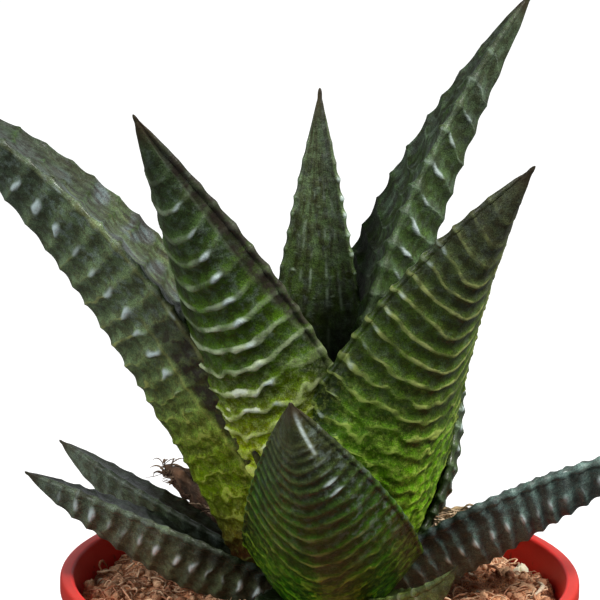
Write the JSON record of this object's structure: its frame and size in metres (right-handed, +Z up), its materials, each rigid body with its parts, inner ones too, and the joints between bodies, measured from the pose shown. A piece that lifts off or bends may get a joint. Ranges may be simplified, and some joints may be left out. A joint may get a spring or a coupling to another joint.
{
  "type": "potted haworthia",
  "caption": "Small potted succulent: a rosette of dark green, keeled leaves with raised cross ridges, in brown soil in a round red plastic nursery pot.",
  "frame": {"origin": "centre of the pot's foot, on the surface that it stands on", "axes": "+Z up, along the pot's axis; +X to the right and +Y away from the viewer, on the side that the rosette shows best"},
  "size_m": [0.1296, 0.0889, 0.1704],
  "materials": {
    "leaf": "waxy dark green skin with paler raised cross ridges",
    "dry_leaf": "dry, papery tan",
    "stem": "rough brown-green",
    "soil": "loose peat and coir with a few mineral grains",
    "pot": "smooth red, satin"
  },
  "bodies": {
    "root": {"stem": "stem", "leaf_front": "leaf", "leaf_low_left_front": "leaf", "leaf_low_left_back": "leaf", "leaf_low_right": "leaf", "leaf_low_front_right": "leaf", "leaf_low_front_left": "leaf", "leaf_low_back_left": "leaf", "leaf_low_back": "leaf", "leaf_low_back_right": "leaf", "leaf_left": "leaf", "leaf_front_right": "leaf", "leaf_front_left": "leaf", "leaf_right_back": "leaf", "leaf_back_left": "leaf", "leaf_back_right": "leaf", "leaf_back": "leaf", "leaf_centre": "leaf", "dry_leaf_left": "dry_leaf", "dry_leaf_right": "dry_leaf", "soil": "soil", "pot": "pot"}
  },
  "joints": []
}
